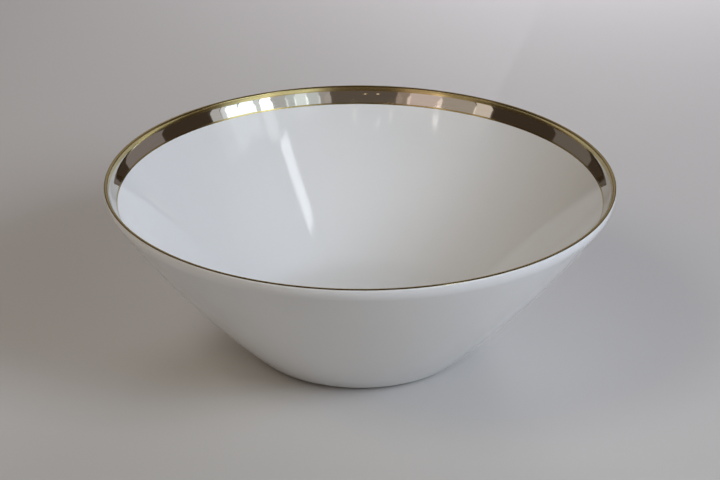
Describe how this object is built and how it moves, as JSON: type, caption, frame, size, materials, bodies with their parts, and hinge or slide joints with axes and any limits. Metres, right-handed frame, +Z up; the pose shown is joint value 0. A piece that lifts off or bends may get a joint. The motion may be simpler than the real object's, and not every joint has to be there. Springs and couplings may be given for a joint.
{
  "type": "porcelain serving bowl",
  "caption": "Round white glazed porcelain serving bowl with a flared, slightly rounded wall, a recessed foot ring, and a platinum band edged with gold inside the rim.",
  "frame": {"origin": "on the bowl's axis, at the level of the table that the foot ring rests on", "axes": "+Z up along the bowl's axis, from the foot ring to the open rim; +X and +Y are equal, as the bowl is round"},
  "size_m": [0.24, 0.24, 0.0861],
  "materials": {
    "bisque": "unglazed, ground smooth",
    "white_glaze": "high gloss, cool white",
    "platinum": "burnished mirror, fired on",
    "bright_gold": "bright fired gold"
  },
  "bodies": {
    "root": {"porcelain_body": "bisque", "foot_ring": "bisque", "inner_glaze": "white_glaze", "outer_glaze": "white_glaze", "foot_well_glaze": "white_glaze", "platinum_band": "platinum", "gold_lip_line": "bright_gold", "gold_hairline": "bright_gold"}
  },
  "joints": []
}
